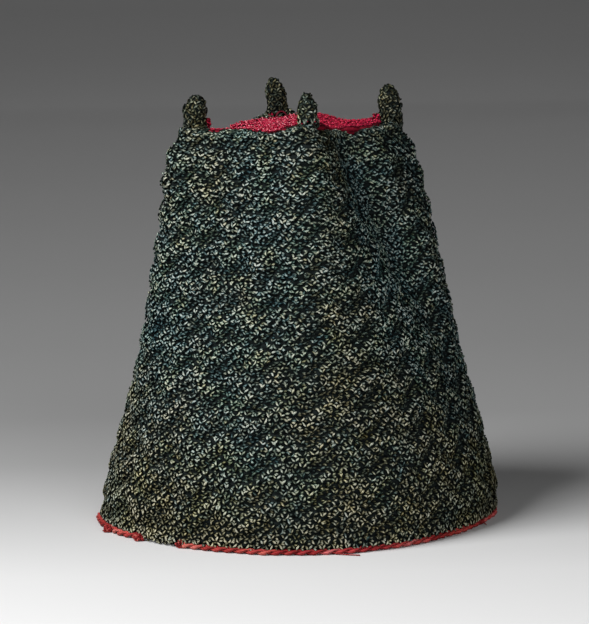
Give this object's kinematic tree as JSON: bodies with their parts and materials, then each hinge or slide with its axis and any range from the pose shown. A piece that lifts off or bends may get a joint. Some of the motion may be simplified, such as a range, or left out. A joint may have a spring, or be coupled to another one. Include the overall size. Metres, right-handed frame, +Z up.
{
  "type": "four-cornered knotted hat",
  "caption": "Tall knotted wool hat: a flared wall with zigzag ribs, squared at the top, a red crown, a stubby peak at each top corner and a red twisted cord round the hem.",
  "frame": {"origin": "centre of the bounding box's bottom, on the floor that the hem rests on", "axes": "+Z up through the crown; the four corners with their peaks point between the axes; the front corner points to +X and -Y"},
  "size_m": [0.1729, 0.1729, 0.1914],
  "materials": {
    "dark_yarn": "matte knotted wool in blackish green with teal, tan and olive flecks",
    "red_yarn": "matte knotted wool in crimson",
    "red_cord": "matte twisted two-ply wool cord in red"
  },
  "bodies": {
    "root": {"wall": "dark_yarn", "crown": "red_yarn", "hem_cord": "red_cord", "peak_front": "dark_yarn", "peak_left": "dark_yarn", "peak_back": "dark_yarn", "peak_right": "dark_yarn"}
  },
  "joints": []
}
